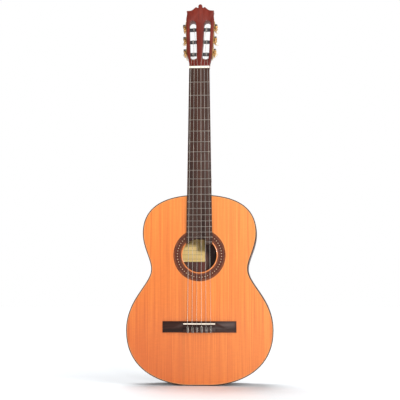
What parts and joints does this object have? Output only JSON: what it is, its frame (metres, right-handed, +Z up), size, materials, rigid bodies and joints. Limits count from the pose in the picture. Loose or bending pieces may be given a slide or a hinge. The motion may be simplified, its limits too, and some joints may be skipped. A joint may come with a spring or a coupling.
{
  "type": "classical guitar",
  "caption": "Classical guitar with a slotted headstock, geared string rollers turned by side buttons, hollow braced body, fretted neck and tie bridge.",
  "frame": {"origin": "middle of the tail end, on the flat that it stands on, half the tail depth behind the soundboard", "axes": "+Z up along the neck towards the head, +X to the treble side, +Y to the back; the soundboard faces -Y"},
  "size_m": [0.3702, 0.1134, 0.9823],
  "materials": {
    "cedar": "gloss lacquer over orange cedar, fine straight grain",
    "rosette_mosaic": "lacquered inlay of dark mosaic with pale dots between brown rings",
    "side_wood": "gloss lacquer over dark red-brown wood",
    "dark_trim": "gloss lacquer over dark edging",
    "pale_wood": "bare planed spruce and cedar",
    "neck_wood": "satin lacquer over red-brown mahogany",
    "head_wood": "gloss lacquer over red-brown veneer",
    "rosewood": "oiled dark rosewood",
    "bone": "polished cream bone substitute",
    "fret_wire": "polished nickel silver",
    "wound_string": "silvered copper winding",
    "nylon": "clear nylon",
    "gold_metal": "polished gold plating",
    "roller_black": "black rollers on steel spindles with gold gears",
    "button_pearl": "cream pearl buttons on gold worm shafts"
  },
  "bodies": {
    "root": {"soundboard": "cedar", "rosette": "rosette_mosaic", "rib_bass": "side_wood", "rib_treble": "side_wood", "back_plate": "side_wood", "top_binding": "dark_trim", "back_binding": "dark_trim", "top_lining": "pale_wood", "back_lining": "pale_wood", "tail_block": "pale_wood", "top_bracing": "pale_wood", "back_bracing": "pale_wood", "neck": "neck_wood", "heel_cap": "dark_trim", "fingerboard": "rosewood", "nut": "bone", "bridge": "rosewood", "saddle": "bone", "headstock": "neck_wood", "head_veneer": "head_wood", "tuner_plate_bass": "gold_metal", "tuner_plate_treble": "gold_metal", "fret_01": "fret_wire", "fret_02": "fret_wire", "fret_03": "fret_wire", "fret_04": "fret_wire", "fret_05": "fret_wire", "fret_06": "fret_wire", "fret_07": "fret_wire", "fret_08": "fret_wire", "fret_09": "fret_wire", "fret_10": "fret_wire", "fret_11": "fret_wire", "fret_12": "fret_wire", "fret_13": "fret_wire", "fret_14": "fret_wire", "fret_15": "fret_wire", "fret_16": "fret_wire", "fret_17": "fret_wire", "fret_18": "fret_wire", "fret_19": "fret_wire", "fret_20": "fret_wire", "string_6": "wound_string", "string_5": "wound_string", "string_4": "wound_string", "string_3": "nylon", "string_2": "nylon", "string_1": "nylon"},
    "knob_bass_1": {"knob_bass_1": "button_pearl"},
    "roller_bass_1": {"roller_bass_1": "roller_black"},
    "knob_bass_2": {"knob_bass_2": "button_pearl"},
    "roller_bass_2": {"roller_bass_2": "roller_black"},
    "knob_bass_3": {"knob_bass_3": "button_pearl"},
    "roller_bass_3": {"roller_bass_3": "roller_black"},
    "knob_treble_1": {"knob_treble_1": "button_pearl"},
    "roller_treble_1": {"roller_treble_1": "roller_black"},
    "knob_treble_2": {"knob_treble_2": "button_pearl"},
    "roller_treble_2": {"roller_treble_2": "roller_black"},
    "knob_treble_3": {"knob_treble_3": "button_pearl"},
    "roller_treble_3": {"roller_treble_3": "roller_black"}
  },
  "joints": [
    {"name": "knob_bass_1_turn", "type": "hinge", "parent": "root", "child": "knob_bass_1", "pos_m": [-0.03868, -0.03134, 0.85261], "axis": [0, 0.9781, -0.2079], "continuous": true},
    {"name": "roller_bass_1_turn", "type": "hinge", "parent": "root", "child": "roller_bass_1", "pos_m": [-0.01569, -0.03325, 0.84362], "axis": [0.9992, 0.0083, 0.0393], "continuous": true},
    {"name": "knob_bass_2_turn", "type": "hinge", "parent": "root", "child": "knob_bass_2", "pos_m": [-0.04009, -0.02405, 0.88691], "axis": [0, 0.9781, -0.2079], "continuous": true},
    {"name": "roller_bass_2_turn", "type": "hinge", "parent": "root", "child": "roller_bass_2", "pos_m": [-0.0171, -0.02596, 0.87793], "axis": [0.9992, 0.0083, 0.0393], "continuous": true},
    {"name": "knob_bass_3_turn", "type": "hinge", "parent": "root", "child": "knob_bass_3", "pos_m": [-0.0415, -0.01676, 0.92122], "axis": [0, 0.9781, -0.2079], "continuous": true},
    {"name": "roller_bass_3_turn", "type": "hinge", "parent": "root", "child": "roller_bass_3", "pos_m": [-0.01851, -0.01866, 0.91223], "axis": [0.9992, 0.0083, 0.0393], "continuous": true},
    {"name": "knob_treble_1_turn", "type": "hinge", "parent": "root", "child": "knob_treble_1", "pos_m": [0.03868, -0.03134, 0.85261], "axis": [0, 0.9781, -0.2079], "continuous": true},
    {"name": "roller_treble_1_turn", "type": "hinge", "parent": "root", "child": "roller_treble_1", "pos_m": [0.01569, -0.03325, 0.84362], "axis": [0.9992, -0.0083, -0.0393], "continuous": true},
    {"name": "knob_treble_2_turn", "type": "hinge", "parent": "root", "child": "knob_treble_2", "pos_m": [0.04009, -0.02405, 0.88691], "axis": [0, 0.9781, -0.2079], "continuous": true},
    {"name": "roller_treble_2_turn", "type": "hinge", "parent": "root", "child": "roller_treble_2", "pos_m": [0.0171, -0.02596, 0.87793], "axis": [0.9992, -0.0083, -0.0393], "continuous": true},
    {"name": "knob_treble_3_turn", "type": "hinge", "parent": "root", "child": "knob_treble_3", "pos_m": [0.0415, -0.01676, 0.92122], "axis": [0, 0.9781, -0.2079], "continuous": true},
    {"name": "roller_treble_3_turn", "type": "hinge", "parent": "root", "child": "roller_treble_3", "pos_m": [0.01851, -0.01866, 0.91223], "axis": [0.9992, -0.0083, -0.0393], "continuous": true}
  ],
  "couplings": [
    {"joint": "roller_bass_1_turn", "follows": "knob_bass_1_turn", "ratio": -0.0625},
    {"joint": "roller_bass_2_turn", "follows": "knob_bass_2_turn", "ratio": -0.0625},
    {"joint": "roller_bass_3_turn", "follows": "knob_bass_3_turn", "ratio": -0.0625},
    {"joint": "roller_treble_1_turn", "follows": "knob_treble_1_turn", "ratio": -0.0625},
    {"joint": "roller_treble_2_turn", "follows": "knob_treble_2_turn", "ratio": -0.0625},
    {"joint": "roller_treble_3_turn", "follows": "knob_treble_3_turn", "ratio": -0.0625}
  ]
}
